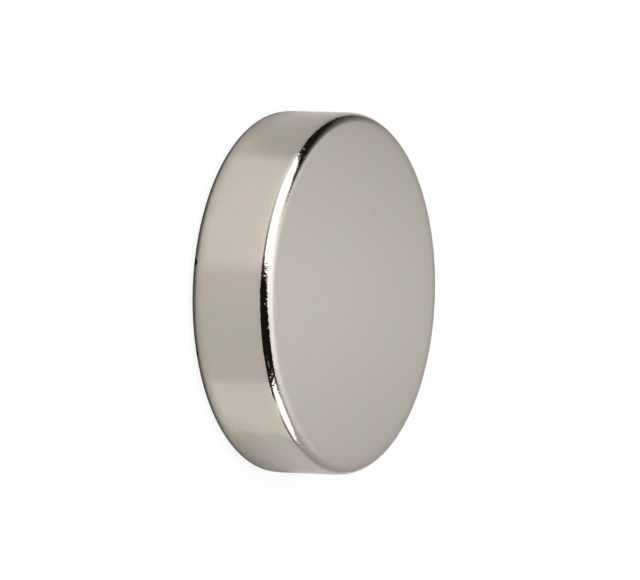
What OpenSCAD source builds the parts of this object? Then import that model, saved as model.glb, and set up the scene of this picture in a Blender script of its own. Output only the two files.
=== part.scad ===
// Disc magnet: one plain disc of sintered magnet alloy under a bright nickel skin.
//
// The blank is tumbled before it is plated, so both rims are worn round. Each rim is three
// arcs that run into one another: a tight arc in the middle, and on either side of it a long
// shallow run-out, which meets the flat face or the straight side without a line.
//
// Sizes are in millimetres. The disc lies on its lower face at Z = 0, with its axis on Z.

/* [Disc] */
// Diameter over the straight side
disc_d = 20; // [8:0.5:60]
// Thickness from face to face
disc_t = 5; // [4:0.25:30]

/* [Rims] */
// Radius of the tight arc in the middle of a rim
rim_r = 0.6; // [0.2:0.05:0.8]
// Radius of the shallow run-outs on either side of that arc
runout_r = 4; // [1:0.25:6]
// Angle that each run-out turns through, in degrees
runout_turn = 6; // [2:0.5:10]

/* [Hidden] */
$fn = 360;

nickel = [0.83, 0.80, 0.76];

// The tight arc is drawn this much too large: it then crosses the run-outs where it would only
// have touched them, and no sliver of a face is left at the joins.
lap = 0.00002;

// How far the tight arc's centre lies inside the face, and as far inside the side
rim_inset = runout_r - (runout_r - rim_r) * cos(runout_turn);
// How far the rounding reaches along the face, and as far down the side
rim_reach = rim_inset + (runout_r - rim_r) * sin(runout_turn);

disc_r = disc_d / 2;
side_end = disc_t - rim_reach;
face_end = disc_r - rim_reach;
tip = [disc_r - rim_inset, disc_t - rim_inset];

// A point past the tight arc, out from its centre at an angle to the face
function past_tip(angle) = tip + 2 * rim_r * [cos(angle), sin(angle)];

// The part of a run-out's circle that lies between its flat end and the tight arc
module runout(centre, bounds) {
    intersection() {
        translate(centre) circle(r = runout_r);
        polygon(bounds);
    }
}

// Half of the disc's cross-section above its middle plane, from the axis out to the side
module upper_section() {
    polygon([
        [0, disc_t / 2], [disc_r, disc_t / 2], [disc_r, side_end], [tip.x, side_end],
        tip, [face_end, tip.y], [face_end, disc_t], [0, disc_t]
    ]);
    translate(tip) circle(r = rim_r + lap);
    runout([face_end, disc_t - runout_r],
        [[face_end, tip.y], tip, past_tip(90 - runout_turn), [face_end, disc_t + rim_r]]);
    runout([disc_r - runout_r, side_end],
        [[tip.x, side_end], tip, past_tip(runout_turn), [disc_r + rim_r, side_end]]);
}

module magnet() {
    color(nickel) rotate_extrude() {
        upper_section();
        translate([0, disc_t]) mirror([0, 1]) upper_section();
    }
}

magnet();
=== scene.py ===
"""Disc magnet in bright nickel plating, lying on its flat face in a small light tent."""

import math

import bmesh
import bpy
from bpy.props import FloatProperty, FloatVectorProperty, IntProperty, PointerProperty
from mathutils import Matrix, Vector


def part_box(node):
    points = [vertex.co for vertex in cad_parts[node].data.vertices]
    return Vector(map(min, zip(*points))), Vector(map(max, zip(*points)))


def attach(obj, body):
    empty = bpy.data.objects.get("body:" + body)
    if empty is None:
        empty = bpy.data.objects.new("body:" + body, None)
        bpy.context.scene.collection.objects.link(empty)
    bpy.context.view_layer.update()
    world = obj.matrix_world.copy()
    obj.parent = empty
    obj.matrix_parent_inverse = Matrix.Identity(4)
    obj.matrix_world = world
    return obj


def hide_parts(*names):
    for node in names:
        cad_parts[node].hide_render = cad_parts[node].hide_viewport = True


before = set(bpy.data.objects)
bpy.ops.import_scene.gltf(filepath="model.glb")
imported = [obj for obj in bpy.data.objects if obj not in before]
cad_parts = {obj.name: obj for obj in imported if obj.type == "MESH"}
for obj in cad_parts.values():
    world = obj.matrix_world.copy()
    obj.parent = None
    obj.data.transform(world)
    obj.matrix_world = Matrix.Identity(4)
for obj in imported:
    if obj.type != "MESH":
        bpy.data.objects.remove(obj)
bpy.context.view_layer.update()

bl_info = {
    "name": "Disc Magnet",
    "version": (1, 0, 0),
    "blender": (4, 5, 0),
    "location": "View3D > Sidebar > Magnet",
    "description": "A nickel-plated disc magnet with tumbled rims, and a light tent to show it in",
    "category": "Add Mesh",
}

DISC_LOW, DISC_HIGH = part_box("magnet")
MM = 0.001


# ---------------------------------------------------------------------------------------------
# Settings


class MagnetShape(bpy.types.PropertyGroup):
    """Sizes of the disc"""

    diameter: FloatProperty(
        name="Diameter",
        description="Diameter over the straight side",
        default=DISC_HIGH.x - DISC_LOW.x,
        unit="LENGTH",
        precision=5,
    )
    thickness: FloatProperty(
        name="Thickness",
        description="Height from face to face",
        default=DISC_HIGH.z - DISC_LOW.z,
        unit="LENGTH",
        precision=5,
    )
    rim_radius: FloatProperty(
        name="Rim radius",
        description="Radius of the tight arc in the middle of each rim",
        default=0.6 * MM,
        unit="LENGTH",
        precision=5,
    )
    runout_radius: FloatProperty(
        name="Run-out radius",
        description="Radius of the shallow arcs on either side of the tight one",
        default=4 * MM,
        unit="LENGTH",
        precision=5,
    )
    runout_turn: FloatProperty(
        name="Run-out turn",
        description="Angle that each run-out turns through",
        default=math.radians(6),
        subtype="ANGLE",
    )
    facets: IntProperty(
        name="Facets",
        description="Facets round the disc",
        default=512,
        min=64,
        max=1024,
    )


class NickelFinish(bpy.types.PropertyGroup):
    """The plating's colour and surface"""

    colour: FloatVectorProperty(
        name="Nickel",
        description="Colour that the plating reflects",
        subtype="COLOR",
        size=3,
        min=0,
        max=1,
        default=(0.56, 0.524, 0.47),
    )
    roughness: FloatProperty(
        name="Roughness",
        description="Roughness of the plating",
        default=0.07,
        min=0,
        max=1,
        subtype="FACTOR",
    )
    mottle: FloatProperty(
        name="Mottle",
        description="Width of the faint warm and cool patches in the plating",
        default=1.8 * MM,
        unit="LENGTH",
        precision=5,
    )
    peel_width: FloatProperty(
        name="Peel width",
        description="Width of one ripple of the plating's orange peel",
        default=0.3 * MM,
        unit="LENGTH",
        precision=5,
    )
    peel_height: FloatProperty(
        name="Peel height",
        description="Height of the plating's orange peel, in thousandths of a millimetre",
        default=1.0,
        min=0,
    )
    wave_width: FloatProperty(
        name="Wave width",
        description="Width of one wave left in the side by grinding",
        default=1.3 * MM,
        unit="LENGTH",
        precision=5,
    )
    wave_height: FloatProperty(
        name="Wave height",
        description="Height of the waves in the side, in thousandths of a millimetre",
        default=30.0,
        min=0,
    )
    grain_width: FloatProperty(
        name="Grain width",
        description="Width of one grain of the tumbled rims under the plating",
        default=0.16 * MM,
        unit="LENGTH",
        precision=5,
    )
    grain_height: FloatProperty(
        name="Grain height",
        description="Height of the grain on the rims, in thousandths of a millimetre",
        default=15.0,
        min=0,
    )
    pit_spacing: FloatProperty(
        name="Pit spacing",
        description="Distance from one place where a pit may be to the next",
        default=0.25 * MM,
        unit="LENGTH",
        precision=5,
    )
    pit_depth: FloatProperty(
        name="Pit depth",
        description="Depth of a pit on a rim, in thousandths of a millimetre",
        default=8.0,
        min=0,
    )


class StudioSetup(bpy.types.PropertyGroup):
    """The light tent and the camera"""

    lens: FloatProperty(
        name="Lens",
        description="Focal length of the camera",
        default=500,
        subtype="DISTANCE_CAMERA",
    )
    camera_distance: FloatProperty(
        name="Camera distance",
        description="From the lens to the middle of the disc",
        default=0.4909,
        unit="LENGTH",
    )
    camera_height: FloatProperty(
        name="Camera height",
        description="How far the camera stands above the face, as an angle",
        default=math.radians(28.2),
        subtype="ANGLE",
    )
    camera_lean: FloatProperty(
        name="Camera lean",
        description="How far the disc's axis dips below level in the view",
        default=math.radians(1.86),
        subtype="ANGLE",
    )
    softbox: FloatProperty(
        name="Softbox",
        description="Brightness of the white softboxes",
        default=2.2,
        min=0,
    )
    backing: FloatProperty(
        name="Backing",
        description="Brightness of the pale card behind the disc, against its own shading",
        default=1.0,
        min=0,
    )
    flag: FloatProperty(
        name="Flag",
        description="Brightness of the black flags",
        default=0.012,
        min=0,
    )
    ambient: FloatProperty(
        name="Ambient",
        description="Brightness of the tent's walls as a light on the floor",
        default=0.3,
        min=0,
    )
    floor_tone: FloatVectorProperty(
        name="Floor",
        description="Colour of the floor",
        subtype="COLOR",
        size=3,
        min=0,
        max=1,
        default=(0.8, 0.79, 0.765),
    )


# ---------------------------------------------------------------------------------------------
# Helpers


def add_mesh(name, bm, material):
    """Turns a bmesh into an object with one material and smooth faces"""
    mesh = bpy.data.meshes.new(name)
    bm.to_mesh(mesh)
    bm.free()
    for face in mesh.polygons:
        face.use_smooth = True
    mesh.materials.append(material)
    piece = bpy.data.objects.new(name, mesh)
    bpy.context.scene.collection.objects.link(piece)
    return piece


def smooth_rise(distance, width):
    """0 at an edge, rising smoothly to 1 at a width away from it"""
    share = min(max(distance / max(width, 0.001), 0.0), 1.0)
    return share * share * (3 - 2 * share)


def empty_material(name):
    """A new material with nothing in its node tree, and that tree"""
    material = bpy.data.materials.new(name)
    material.use_nodes = True
    material.node_tree.nodes.clear()
    return material, material.node_tree


def node(tree, kind, **settings):
    """A new node, with any of its settings given by name"""
    made = tree.nodes.new(kind)
    for key, value in settings.items():
        setattr(made, key, value)
    return made


def math_node(tree, operation, *values):
    """The result of a sum on numbers and node outputs"""
    made = node(tree, "ShaderNodeMath", operation=operation)
    for socket, value in zip(made.inputs, values):
        if isinstance(value, (int, float)):
            socket.default_value = value
        else:
            tree.links.new(value, socket)
    return made.outputs["Value"]


def ramp(tree, value, first, last, curve="SMOOTHSTEP"):
    """A value's map from one (in, out) pair to another, held level beyond them"""
    made = node(tree, "ShaderNodeMapRange", interpolation_type=curve)
    made.inputs["From Min"].default_value, made.inputs["To Min"].default_value = first
    made.inputs["From Max"].default_value, made.inputs["To Max"].default_value = last
    tree.links.new(value, made.inputs["Value"])
    return made.outputs["Result"]


def toward(bearing, height):
    """Direction by bearing, from 0 at the camera round to 90 at +X, and height above level"""
    bearing, height = math.radians(bearing), math.radians(height)
    return Vector(
        (
            math.sin(bearing) * math.cos(height),
            -math.cos(bearing) * math.cos(height),
            math.sin(height),
        )
    )


def follow(stops, place):
    """A level read off a row of (place, level) stops, straight between one stop and the next"""
    for (low, start), (high, end) in zip(stops, stops[1:]):
        if place <= high:
            return start + (end - start) * max(place - low, 0) / (high - low)
    return stops[-1][1]


# ---------------------------------------------------------------------------------------------
# Disc

FACE_STEPS, SIDE_STEPS = 16, 6
RUNOUT_STEPS, ARC_STEPS = 6, 40
WELD = 0.0001 * MM


def run(bm, vert, end, steps):
    """Draws a straight stretch of the outline in equal steps, and returns its last vertex"""
    start = vert.co.copy()
    for step in range(1, steps + 1):
        vert = bmesh.ops.extrude_vert_indiv(bm, verts=[vert])["verts"][0]
        vert.co = start.lerp(end, step / steps)
    return vert


def arc(bm, vert, centre, turn, steps):
    """Draws an arc of the outline about a centre, and returns its last vertex"""
    swept = bmesh.ops.spin(
        bm, geom=[vert], cent=centre, axis=(0, -1, 0), angle=turn, steps=steps, use_duplicate=False
    )
    return next(item for item in swept["geom_last"] if isinstance(item, bmesh.types.BMVert))


def rim_section(shape):
    """How far in from the edge the tight arc's centre is, and how far the whole rim reaches"""
    spread = shape.runout_radius - shape.rim_radius
    inset = shape.runout_radius - spread * math.cos(shape.runout_turn)
    return inset, inset + spread * math.sin(shape.runout_turn)


def draw_outline(bm, shape):
    """Half of the disc's section, from the middle of its lower face round to its upper face"""
    radius, top = shape.diameter / 2, shape.thickness
    runout, turn = shape.runout_radius, shape.runout_turn
    tight_turn = math.pi / 2 - 2 * turn
    inset, reach = rim_section(shape)
    vert = bmesh.ops.create_vert(bm, co=(0, 0, 0))["vert"][0]
    vert = run(bm, vert, Vector((radius - reach, 0, 0)), FACE_STEPS)
    vert = arc(bm, vert, (radius - reach, 0, runout), turn, RUNOUT_STEPS)
    vert = arc(bm, vert, (radius - inset, 0, inset), tight_turn, ARC_STEPS)
    vert = arc(bm, vert, (radius - runout, 0, reach), turn, RUNOUT_STEPS)
    vert = run(bm, vert, Vector((radius, 0, top - reach)), SIDE_STEPS)
    vert = arc(bm, vert, (radius - runout, 0, top - reach), turn, RUNOUT_STEPS)
    vert = arc(bm, vert, (radius - inset, 0, top - inset), tight_turn, ARC_STEPS)
    vert = arc(bm, vert, (radius - reach, 0, top - runout), turn, RUNOUT_STEPS)
    run(bm, vert, Vector((0, 0, top)), FACE_STEPS)


def mark_rims(bm, shape):
    """Marks how far each vertex is into a rim, and how far off the flat faces towards the side"""
    inset, reach = rim_section(shape)
    rim = bm.verts.layers.float.new("rim")
    side = bm.verts.layers.float.new("side")
    for vert in bm.verts:
        out = math.hypot(vert.co.x, vert.co.y) - (shape.diameter / 2 - reach)
        up = abs(vert.co.z - shape.thickness / 2) - (shape.thickness / 2 - reach)
        vert[rim] = smooth_rise(min(out, up), reach - inset)
        vert[side] = smooth_rise(out, reach)


def make_disc(shape, material):
    """The plated disc, spun from its outline"""
    bm = bmesh.new()
    draw_outline(bm, shape)
    bmesh.ops.spin(
        bm,
        geom=bm.verts[:] + bm.edges[:],
        cent=(0, 0, 0),
        axis=(0, 0, 1),
        angle=2 * math.pi,
        steps=shape.facets,
        use_merge=True,
    )
    bmesh.ops.remove_doubles(bm, verts=bm.verts[:], dist=WELD)
    bmesh.ops.recalc_face_normals(bm, faces=bm.faces[:])
    mark_rims(bm, shape)
    return add_mesh("plated_disc", bm, material)


# Along X, where the grain on the rims is calm and where it is coarse
GRAIN_FADES = ((-7 * MM, -1 * MM), (7.3 * MM, 5 * MM))
GRAIN_CALM = 0.45
# Chances that pick the pits, their depths off the rims, and the share of a cell that one fills
PIT_CHANCE, RARE_CHANCE = 0.6, 0.985
RARE_DEPTH, FACE_DEPTH = 0.5, 0.03
PIT_MOUTH = 0.2
BUMP_UNIT = 0.001 * MM
# The nickel's warm and cool patches, and how strong they are on the faces and more on the side
WARM, COOL = (1.055, 0.99, 1.03), (0.96, 1.0, 0.965)
FACE_SWING, SIDE_SWING = 0.8, 1.1
# How far the polish varies, and the levels of its pattern between which it does
GLOSS_SWING = 0.2
GLOSS_LOW, GLOSS_HIGH = 0.3, 0.7
# Chips in the lower rim's plating, each by bearing in degrees and length
CHIPS = ((-8.3, 0.64 * MM), (20.7, 0.5 * MM))
CHIP_RADIUS, CHIP_HEIGHT = 9.82 * MM, 0.17 * MM
CHIP_CORE, CHIP_EDGE = 0.4, 0.5
BARE_METAL = (0.01, 0.01, 0.01, 1)
BARE_ROUGHNESS = 0.5


def noise(tree, place, width, detail):
    """A cloudy pattern with patches of about one width"""
    made = node(tree, "ShaderNodeTexNoise", noise_dimensions="3D")
    made.inputs["Scale"].default_value = 1 / width
    made.inputs["Detail"].default_value = detail
    tree.links.new(place, made.inputs["Vector"])
    return made.outputs["Fac"]


def rim_grain(tree, place, rim, finish):
    """Grain left on the rims by tumbling, coarse along one stretch of them"""
    axes = node(tree, "ShaderNodeSeparateXYZ")
    tree.links.new(place, axes.inputs["Vector"])
    grain = noise(tree, place, finish.grain_width, 1)
    grain = math_node(tree, "MULTIPLY", grain, finish.grain_height)
    grain = math_node(tree, "MULTIPLY", grain, rim)
    for calm, coarse in GRAIN_FADES:
        share = ramp(tree, axes.outputs["X"], (calm, GRAIN_CALM), (coarse, 1))
        grain = math_node(tree, "MULTIPLY", grain, share)
    return grain


def pits(tree, place, rim, finish):
    """Pits under the plating: many on the rims, and a rare faint one on the faces and side"""
    cells = node(tree, "ShaderNodeTexVoronoi", voronoi_dimensions="3D", feature="F1")
    cells.inputs["Scale"].default_value = 1 / finish.pit_spacing
    tree.links.new(place, cells.inputs["Vector"])
    chance = node(tree, "ShaderNodeSeparateColor")
    tree.links.new(cells.outputs["Color"], chance.inputs["Color"])
    pitted = math_node(tree, "GREATER_THAN", chance.outputs["Red"], PIT_CHANCE)
    rare = math_node(tree, "GREATER_THAN", chance.outputs["Red"], RARE_CHANCE)
    off_rim = math_node(tree, "MULTIPLY_ADD", rare, RARE_DEPTH, FACE_DEPTH)
    worn = math_node(tree, "MAXIMUM", rim, off_rim)
    bowl = ramp(tree, cells.outputs["Distance"], (0, -finish.pit_depth), (PIT_MOUTH, 0))
    return math_node(tree, "MULTIPLY", math_node(tree, "MULTIPLY", pitted, worn), bowl)


def relief(tree, place, rim, side, finish):
    """Normals of the orange peel, the side's waves, the rims' grain and the pits together"""
    peel = noise(tree, place, finish.peel_width, 0)
    peel = math_node(tree, "MULTIPLY", peel, finish.peel_height)
    wave = noise(tree, place, finish.wave_width, 1)
    wave = math_node(tree, "MULTIPLY", wave, finish.wave_height)
    wave = math_node(tree, "MULTIPLY", wave, side)
    smooth = math_node(tree, "ADD", peel, wave)
    grain, holes = rim_grain(tree, place, rim, finish), pits(tree, place, rim, finish)
    rough = math_node(tree, "ADD", grain, holes)
    bump = node(tree, "ShaderNodeBump")
    bump.inputs["Distance"].default_value = BUMP_UNIT
    tree.links.new(math_node(tree, "ADD", smooth, rough), bump.inputs["Height"])
    return bump.outputs["Normal"]


def nickel_tint(tree, place, side, finish):
    """The nickel's colour in faint warm and cool patches"""
    tint = node(tree, "ShaderNodeMix", data_type="RGBA")
    for name, cast in (("A", WARM), ("B", COOL)):
        tint.inputs[name].default_value = (*(c * w for c, w in zip(finish.colour, cast)), 1)
    swing = math_node(tree, "MULTIPLY_ADD", side, SIDE_SWING, FACE_SWING)
    patch = math_node(tree, "SUBTRACT", noise(tree, place, finish.mottle, 1), 0.5)
    tree.links.new(math_node(tree, "MULTIPLY_ADD", patch, swing, 0.5), tint.inputs["Factor"])
    return tint.outputs["Result"]


def chip(tree, place, bearing, length):
    """Where a chip in the plating of the lower rim bares the dark metal under it"""
    middle = toward(bearing, 0) * CHIP_RADIUS
    middle.z = CHIP_HEIGHT
    away = node(tree, "ShaderNodeVectorMath", operation="DISTANCE")
    tree.links.new(place, away.inputs[0])
    away.inputs[1].default_value = middle
    return ramp(tree, away.outputs["Value"], (length * CHIP_CORE, 1), (length * CHIP_EDGE, 0))


def nickel_plating(finish):
    """Bright nickel: a clear reflection, faintly mottled, with orange peel, rim grain and pits"""
    material, tree = empty_material("nickel_plating")
    link = tree.links.new
    place = node(tree, "ShaderNodeTexCoord").outputs["Object"]
    rim = node(tree, "ShaderNodeAttribute", attribute_name="rim").outputs["Fac"]
    side = node(tree, "ShaderNodeAttribute", attribute_name="side").outputs["Fac"]
    bare = math_node(tree, "MAXIMUM", *(chip(tree, place, *spot) for spot in CHIPS))

    colour = node(tree, "ShaderNodeMix", data_type="RGBA")
    link(bare, colour.inputs["Factor"])
    link(nickel_tint(tree, place, side, finish), colour.inputs["A"])
    colour.inputs["B"].default_value = BARE_METAL
    clear = (GLOSS_LOW, finish.roughness * (1 - GLOSS_SWING))
    hazy = (GLOSS_HIGH, finish.roughness * (1 + GLOSS_SWING))
    gloss = ramp(tree, noise(tree, place, finish.mottle / 2, 2), clear, hazy, "LINEAR")

    shader = node(tree, "ShaderNodeBsdfPrincipled")
    shader.inputs["Specular IOR Level"].default_value = 0
    link(colour.outputs["Result"], shader.inputs["Base Color"])
    link(math_node(tree, "SUBTRACT", 1, bare), shader.inputs["Metallic"])
    roughness = math_node(tree, "MULTIPLY_ADD", bare, BARE_ROUGHNESS, gloss)
    link(roughness, shader.inputs["Roughness"])
    link(relief(tree, place, rim, side, finish), shader.inputs["Normal"])
    out = node(tree, "ShaderNodeOutputMaterial")
    link(shader.outputs["BSDF"], out.inputs["Surface"])
    return material


class MAGNET_OT_disc(bpy.types.Operator):
    """Build the plated disc"""

    bl_idname = "magnet.disc"
    bl_label = "Build Disc"

    def execute(self, context):
        disc = make_disc(context.scene.magnet_shape, nickel_plating(context.scene.magnet_finish))
        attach(disc, "root")
        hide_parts("magnet")
        return {"FINISHED"}


# ---------------------------------------------------------------------------------------------
# Studio

WHITE = (1, 1, 1)
COOL_WHITE = (1, 1.005, 1.04)
BLACK_CLOTH = (1, 0.9, 0.6)
GREY_CLOTH = (1, 0.95, 0.85)

# Shading of the cards, each a row of (degrees, level) stops
BACKING_MIDDLE = (
    (-5, 0.5),
    (5, 0.54),
    (24, 0.62),
    (29, 0.67),
    (33, 0.79),
    (36, 0.92),
    (50, 1.33),
    (75, 1.75),
    (90, 1.9),
)
BACKING_RIGHT = (
    (-5, 0.45),
    (5, 0.41),
    (15, 0.47),
    (25, 0.57),
    (43, 0.58),
    (52, 0.68),
    (63, 1.05),
    (72, 1.28),
    (90, 1.75),
)
BACKING_ACROSS = ((108, 0), (140, 0.4), (165, 0.75), (178, 1))
BACKING_LEFT = ((180, 1), (187, 0.94), (195, 0.92))
TOP_BEHIND = ((58, 1.15), (62, 1.25), (70, 1.68), (90, 1.85))
TOP_ACROSS = ((-180, 1), (-100, 1), (-60, 1), (0, 0.97), (60, 0.7), (110, 0.7), (180, 0.9))
TOP_LEVEL, TOP_TURN = 1.85, -90
LEFT_FLAG = ((-188, 0.2), (-152, 0.18), (-142, 0.14), (-134, 0.05), (-128, 0.012))
HORIZON = (
    (-104, 0.03),
    (-96, 0.8),
    (-84, 0.8),
    (-74, 1.25),
    (-24, 1.25),
    (-15, 0.02),
    (56, 0.02),
    (68, 1.2),
    (98, 1.2),
    (105, 0.3),
    (118, 0.3),
)
# The soft pool of light on the backing: its place, its half widths in degrees and its strength
POOL_BEARING, POOL_HEIGHT = 180, 30.1
POOL_ACROSS, POOL_UP = 4.1, 4.3
POOL_LEVEL = 0.175
CORNER_FADE = 2

# Rings round the disc, each a row of (radius, height, cover) points with sizes in millimetres
RAIL = ((10.5, 4.29, 1), (10.501, 4.57, 1))
PANEL_STOP = ((15, 8, 1), (15.001, 8.95, 1))
RAIL_END = ((10.5, 4.29, 0.8), (10.501, 4.57, 0.8))
CONTACT_SHADE = (
    (8.5, -0.003, 1),
    (9.8, -0.003, 1),
    (10.4, -0.003, 0.25),
    (10.9, -0.003, 0.09),
    (11.6, -0.003, 0),
)
RIGHT_SHADE = ((9.6, -0.006, 0), (9.9, -0.006, 0.27), (11, -0.006, 0.24), (14, -0.006, 0))
SIDE_SHADE = ((9.6, -0.006, 0), (9.9, -0.006, 0.14), (22, -0.006, 0.14), (28, -0.006, 0))
SHADE_LEVEL = 0.09

FLOOR_SIZE, FLOOR_DEPTH = 3, 0.01 * MM
FLOOR_ROUGHNESS, FLOOR_IOR = 0.2, 1.43
# The floor as the camera sees it: matt by the disc for its shadow, and plain white farther off
MATT_TONE = (0.9, 0.9, 0.9, 1)
WHITE_LEVEL = 1.04
WHITE_NEAR, WHITE_FAR = (0.03, 0.85), (0.1, 1)

# From the middle of the disc to the middle of the view, to its right and upward
AIM_RIGHT, AIM_UP = 0.239 * MM, 0.146 * MM


def card_glow(name, tint):
    """The card's own shading, which fades out where its cover is thin"""
    material, tree = empty_material(name)
    cover = node(tree, "ShaderNodeAttribute", attribute_name="cover")
    glow = node(tree, "ShaderNodeAttribute", attribute_name="glow")
    clear = node(tree, "ShaderNodeBsdfTransparent")
    light = node(tree, "ShaderNodeEmission")
    blend = node(tree, "ShaderNodeMixShader")
    out = node(tree, "ShaderNodeOutputMaterial")
    light.inputs["Color"].default_value = (*tint, 1)
    tree.links.new(cover.outputs["Fac"], blend.inputs["Fac"])
    tree.links.new(glow.outputs["Fac"], light.inputs["Strength"])
    tree.links.new(clear.outputs["BSDF"], blend.inputs[1])
    tree.links.new(light.outputs["Emission"], blend.inputs[2])
    tree.links.new(blend.outputs["Shader"], out.inputs["Surface"])
    return material


def only_reflected(card):
    """Hides a card from everything but reflections"""
    card.visible_camera = False
    card.visible_diffuse = False
    card.visible_shadow = False


def curved_card(
    name,
    bearings,
    heights,
    distance,
    glow,
    fades=(0, 0, 0, 0),
    corners=(0, 0),
    step=1.0,
    tint=WHITE,
):
    """A card bent round the disc, seen only in reflections

    The fades are the soft widths of its left, right, lower and upper edges, and the corners
    are the radii of its upper left and right ones. Its glow is a level, or a function of
    bearing and height. All of its angles are in degrees.
    """
    bm = bmesh.new()
    first = math.radians(bearings[0])
    vert = bmesh.ops.create_vert(bm, co=toward(bearings[0], heights[0]) * distance)["vert"][0]
    bmesh.ops.spin(
        bm,
        geom=[vert],
        cent=(0, 0, 0),
        axis=(-math.cos(first), -math.sin(first), 0),
        angle=math.radians(heights[1] - heights[0]),
        steps=round((heights[1] - heights[0]) / step),
        use_duplicate=False,
    )
    bmesh.ops.spin(
        bm,
        geom=bm.verts[:] + bm.edges[:],
        cent=(0, 0, 0),
        axis=(0, 0, 1),
        angle=math.radians(bearings[1] - bearings[0]),
        steps=round((bearings[1] - bearings[0]) / step),
        use_duplicate=False,
    )
    cover_layer = bm.verts.layers.float.new("cover")
    glow_layer = bm.verts.layers.float.new("glow")
    middle = (bearings[0] + bearings[1]) / 2
    left, right, low, high = fades
    for vert in bm.verts:
        bearing = math.degrees(math.atan2(vert.co.x, -vert.co.y))
        bearing = middle + (bearing - middle + 180) % 360 - 180
        height = math.degrees(math.asin(min(max(vert.co.z / distance, -1), 1)))
        sides = bearing - bearings[0], bearings[1] - bearing
        top = heights[1] - height
        cover = (
            smooth_rise(sides[0], left)
            * smooth_rise(sides[1], right)
            * smooth_rise(height - heights[0], low)
            * smooth_rise(top, high)
        )
        for side, corner in zip(sides, corners):
            if max(side, top) < corner:
                in_from_arc = corner - math.hypot(corner - side, corner - top)
                cover *= smooth_rise(in_from_arc, CORNER_FADE)
        vert[cover_layer] = cover
        vert[glow_layer] = glow(bearing, height) if callable(glow) else glow
    only_reflected(add_mesh(name, bm, card_glow(name + "_glow", tint)))


def backing_glow(bearing, height):
    """The pale card's shading: brighter upward, dimmer to the right, with one soft pool of light"""
    across = follow(BACKING_ACROSS, bearing)
    level = follow(BACKING_MIDDLE, height) * across + follow(BACKING_RIGHT, height) * (1 - across)
    level *= follow(BACKING_LEFT, bearing)
    aside = (bearing - POOL_BEARING) * math.cos(math.radians(height)) / POOL_ACROSS
    above = (height - POOL_HEIGHT) / POOL_UP
    return level + POOL_LEVEL * math.exp(-(aside**2) - above**2)


def top_glow(bearing, height):
    """The top softbox's shading: dimmer to the right, and low down past its turn to the back"""
    level = TOP_LEVEL * follow(TOP_ACROSS, bearing)
    return min(level, follow(TOP_BEHIND, height)) if bearing < TOP_TURN else level


def left_flag_glow(bearing, height):
    """The left flag's shading: black, and grey where it nears the pale backing"""
    return follow(LEFT_FLAG, bearing)


def horizon_glow(bearing, height):
    """The low skirting's shading, which softens the ends of the cards seen from table height"""
    return follow(HORIZON, bearing)


def ring(name, section, bearings, level, fades=(0, 0)):
    """A band round the disc, or part of the way round it, seen only in reflections

    Its cover fades out at each end over as many degrees as the fades say.
    """
    bm = bmesh.new()
    first = toward(bearings[0], 0)
    points = [first * (radius * MM) + Vector((0, 0, height * MM)) for radius, height, _ in section]
    cover_layer = bm.verts.layers.float.new("cover")
    glow_layer = bm.verts.layers.float.new("glow")
    vert = bmesh.ops.create_vert(bm, co=points[0])["vert"][0]
    for point in points[1:]:
        vert = bmesh.ops.extrude_vert_indiv(bm, verts=[vert])["verts"][0]
        vert.co = point
    bmesh.ops.spin(
        bm,
        geom=bm.verts[:] + bm.edges[:],
        cent=(0, 0, 0),
        axis=(0, 0, 1),
        angle=math.radians(bearings[1] - bearings[0]),
        steps=round(bearings[1] - bearings[0]),
        use_duplicate=False,
    )
    covers = [(radius * MM, cover) for radius, _, cover in section]
    for vert in bm.verts:
        bearing = math.degrees(math.atan2(vert.co.x, -vert.co.y))
        vert[cover_layer] = (
            follow(covers, math.hypot(vert.co.x, vert.co.y))
            * smooth_rise(bearing - bearings[0], fades[0])
            * smooth_rise(bearings[1] - bearing, fades[1])
        )
        vert[glow_layer] = level
    only_reflected(add_mesh(name, bm, card_glow(name + "_glow", WHITE)))


def hang_cards(studio):
    """Softboxes, flags and the pale backing, each nearer than the one before where they overlap"""
    white, black = studio.softbox, studio.flag
    curved_card("skirt", (-180, 180), (-3, 9), 1.35, 0.35)
    curved_card("left_softbox", (-138, -14), (-3, 90), 1.30, white, (40, 0, 6, 0), step=2)
    curved_card(
        "top_softbox", (-180, 180), (58, 90), 1.28, top_glow, (0, 0, 12, 0), step=2, tint=COOL_WHITE
    )
    curved_card("right_wall", (70, 150), (-3, 62), 1.25, 0.6, (0, 10, 0, 9), step=2)
    curved_card(
        "left_flag",
        (-188, -90),
        (-3, 60),
        1.22,
        left_flag_glow,
        fades=(0, 0.7, 0, 3),
        corners=(50, 50),
        tint=GREY_CLOTH,
    )
    curved_card(
        "front_flag",
        (-15, 96),
        (-3, 72),
        1.20,
        black,
        fades=(1, 24, 0, 4),
        corners=(50, 50),
        tint=BLACK_CLOTH,
    )
    curved_card("right_softbox", (58.5, 103), (-3, 46), 1.18, white, (1, 2, 6, 2), (19, 8))
    curved_card("front_panel", (42, 48), (13, 17), 1.10, 0.9, (1, 1, 1, 1), step=0.5)
    curved_card("left_panel", (-138, -132), (23, 27), 1.10, 0.62, (1, 1, 1, 1), step=0.5)
    curved_card("horizon", (-180, 180), (0.3, 6.3), 1.05, horizon_glow, (0, 0, 1, 1.5), step=0.5)
    curved_card("zenith", (-180, 180), (86.5, 90), 1.00, 1.25, (0, 0, 0.6, 0), step=0.5)
    curved_card(
        "backing",
        (105, 218),
        (-3, 84),
        0.15,
        lambda bearing, height: studio.backing * backing_glow(bearing, height),
        fades=(12, 32, 0, 3),
    )


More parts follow.
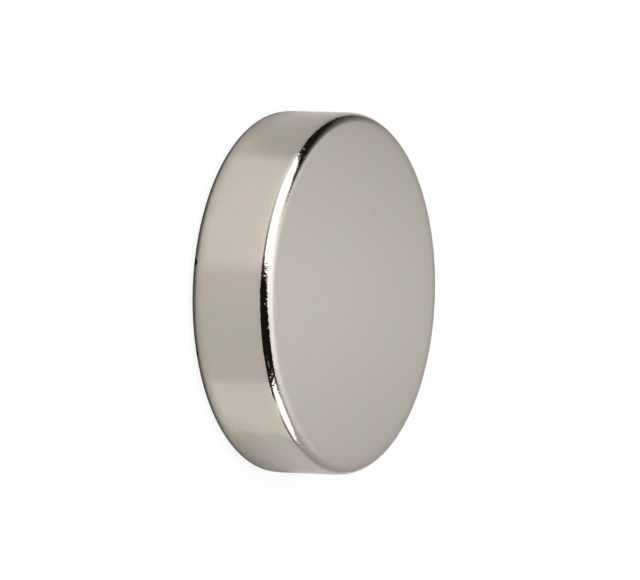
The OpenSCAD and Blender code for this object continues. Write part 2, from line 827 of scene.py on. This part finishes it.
def add_rings(studio):
    """Black rails close to the disc, and shades on the floor round it, which its side mirrors"""
    black = studio.flag
    ring("rail", RAIL, (-48, 41), black, (48, 5))
    ring("panel_stop", PANEL_STOP, (-102, -95), black, (1, 1))
    ring("rail_end", RAIL_END, (41, 64), black, (8, 8))
    ring("contact_shade", CONTACT_SHADE, (-180, 180), SHADE_LEVEL)
    ring("right_shade", RIGHT_SHADE, (46, 115), SHADE_LEVEL, (28, 20))
    ring("side_shade", SIDE_SHADE, (-130, -58), black, (18, 16))


def add_floor(studio):
    """Pale gloss floor: white to the camera but for a faint shadow, and itself in reflections"""
    material, tree = empty_material("floor_sheet")
    link = tree.links.new
    sheet = node(tree, "ShaderNodeBsdfPrincipled")
    sheet.inputs["Base Color"].default_value = (*studio.floor_tone, 1)
    sheet.inputs["Roughness"].default_value = FLOOR_ROUGHNESS
    sheet.inputs["IOR"].default_value = FLOOR_IOR
    matt = node(tree, "ShaderNodeBsdfDiffuse")
    matt.inputs["Color"].default_value = MATT_TONE
    white = node(tree, "ShaderNodeEmission")
    white.inputs["Strength"].default_value = WHITE_LEVEL
    distance = node(tree, "ShaderNodeVectorMath", operation="LENGTH")
    link(node(tree, "ShaderNodeTexCoord").outputs["Object"], distance.inputs[0])
    shown = node(tree, "ShaderNodeMixShader")
    whiteness = ramp(tree, distance.outputs["Value"], WHITE_NEAR, WHITE_FAR, "LINEAR")
    link(whiteness, shown.inputs["Fac"])
    link(matt.outputs["BSDF"], shown.inputs[1])
    link(white.outputs["Emission"], shown.inputs[2])
    pick = node(tree, "ShaderNodeMixShader")
    link(node(tree, "ShaderNodeLightPath").outputs["Is Camera Ray"], pick.inputs["Fac"])
    link(sheet.outputs["BSDF"], pick.inputs[1])
    link(shown.outputs["Shader"], pick.inputs[2])
    out = node(tree, "ShaderNodeOutputMaterial")
    link(pick.outputs["Shader"], out.inputs["Surface"])
    bm = bmesh.new()
    bmesh.ops.create_grid(bm, x_segments=1, y_segments=1, size=FLOOR_SIZE)
    bmesh.ops.translate(bm, verts=bm.verts[:], vec=(0, 0, -FLOOR_DEPTH))
    add_mesh("floor", bm, material)


def light_world(studio):
    """White surroundings, which light the floor less brightly than they look"""
    world = bpy.data.worlds.new("tent")
    world.use_nodes = True
    tree = world.node_tree
    tree.nodes.clear()
    link = tree.links.new
    path = node(tree, "ShaderNodeLightPath")
    seen = path.outputs["Is Camera Ray"]
    for kind in ("Is Glossy Ray", "Is Transmission Ray"):
        either = node(tree, "ShaderNodeMath", operation="ADD", use_clamp=True)
        link(seen, either.inputs[0])
        link(path.outputs[kind], either.inputs[1])
        seen = either.outputs["Value"]
    lit, white = node(tree, "ShaderNodeBackground"), node(tree, "ShaderNodeBackground")
    for background in (lit, white):
        background.inputs["Color"].default_value = (*WHITE, 1)
    lit.inputs["Strength"].default_value = studio.ambient
    pick = node(tree, "ShaderNodeMixShader")
    link(seen, pick.inputs["Fac"])
    link(lit.outputs["Background"], pick.inputs[1])
    link(white.outputs["Background"], pick.inputs[2])
    out = node(tree, "ShaderNodeOutputWorld")
    link(pick.outputs["Shader"], out.inputs["Surface"])
    bpy.context.scene.world = world


def add_lamp(name, bearing, height, distance, size, watts):
    """A soft lamp aimed at the disc, which lights the floor and isn't seen itself"""
    lamp = bpy.data.lights.new(name, "AREA")
    lamp.size = size
    lamp.energy = watts
    holder = bpy.data.objects.new(name, lamp)
    holder.location = toward(bearing, height) * distance
    holder.rotation_euler = (-holder.location).to_track_quat("-Z", "Y").to_euler()
    holder.visible_glossy = False
    holder.visible_camera = False
    bpy.context.scene.collection.objects.link(holder)


def add_lamps():
    """Lamps over the floor, which the disc's side mirrors"""
    add_lamp("top_lamp", bearing=0, height=88, distance=0.5, size=0.35, watts=1.1)
    add_lamp("left_lamp", bearing=-55, height=35, distance=0.5, size=0.3, watts=0.64)
    add_lamp("right_lamp", bearing=85, height=25, distance=0.5, size=0.2, watts=0.3)
    add_lamp("near_lamp", bearing=-20, height=35, distance=0.07, size=0.03, watts=0.011)


def add_camera(studio):
    """A long lens above the face, turned so that the disc's axis runs across the view"""
    middle = (DISC_LOW + DISC_HIGH) / 2
    back = toward(0, math.degrees(studio.camera_height))
    across = (Vector((0, 0, 1)) - back * back.z).normalized()
    up = back.cross(across)
    lean = studio.camera_lean
    right = across * math.cos(lean) + up * math.sin(lean)
    up = back.cross(right)
    data = bpy.data.cameras.new("camera")
    data.lens = studio.lens
    camera = bpy.data.objects.new("camera", data)
    aim = middle + right * AIM_RIGHT + up * AIM_UP
    turned = Matrix((right, up, back)).transposed()
    camera.matrix_world = Matrix.LocRotScale(aim + back * studio.camera_distance, turned, None)
    bpy.context.scene.collection.objects.link(camera)
    bpy.context.scene.camera = camera


class MAGNET_OT_studio(bpy.types.Operator):
    """Set up the floor, the light tent and the camera"""

    bl_idname = "magnet.studio"
    bl_label = "Set Up Studio"

    def execute(self, context):
        studio = context.scene.magnet_studio
        add_floor(studio)
        light_world(studio)
        hang_cards(studio)
        add_rings(studio)
        add_lamps()
        add_camera(studio)
        context.scene.view_settings.view_transform = "Standard"
        return {"FINISHED"}


# ---------------------------------------------------------------------------------------------
# Add-on


class MAGNET_PT_sidebar(bpy.types.Panel):
    """Settings and build steps of the disc magnet"""

    bl_label = "Disc Magnet"
    bl_idname = "MAGNET_PT_sidebar"
    bl_space_type = "VIEW_3D"
    bl_region_type = "UI"
    bl_category = "Magnet"

    def draw(self, context):
        scene = context.scene
        for settings in (scene.magnet_shape, scene.magnet_finish, scene.magnet_studio):
            box = self.layout.box()
            for name in settings.__annotations__:
                box.prop(settings, name)
        for operator in (MAGNET_OT_disc, MAGNET_OT_studio):
            self.layout.operator(operator.bl_idname)


CLASSES = (
    MagnetShape,
    NickelFinish,
    StudioSetup,
    MAGNET_OT_disc,
    MAGNET_OT_studio,
    MAGNET_PT_sidebar,
)


def register():
    """Makes the settings, operators and panel known to Blender"""
    for cls in CLASSES:
        bpy.utils.register_class(cls)
    bpy.types.Scene.magnet_shape = PointerProperty(type=MagnetShape)
    bpy.types.Scene.magnet_finish = PointerProperty(type=NickelFinish)
    bpy.types.Scene.magnet_studio = PointerProperty(type=StudioSetup)


def unregister():
    """Takes them out again"""
    del bpy.types.Scene.magnet_studio
    del bpy.types.Scene.magnet_finish
    del bpy.types.Scene.magnet_shape
    for cls in reversed(CLASSES):
        bpy.utils.unregister_class(cls)


def main():
    """Builds the disc and its studio"""
    register()
    bpy.ops.magnet.disc()
    bpy.ops.magnet.studio()


if __name__ == "__main__":
    main()
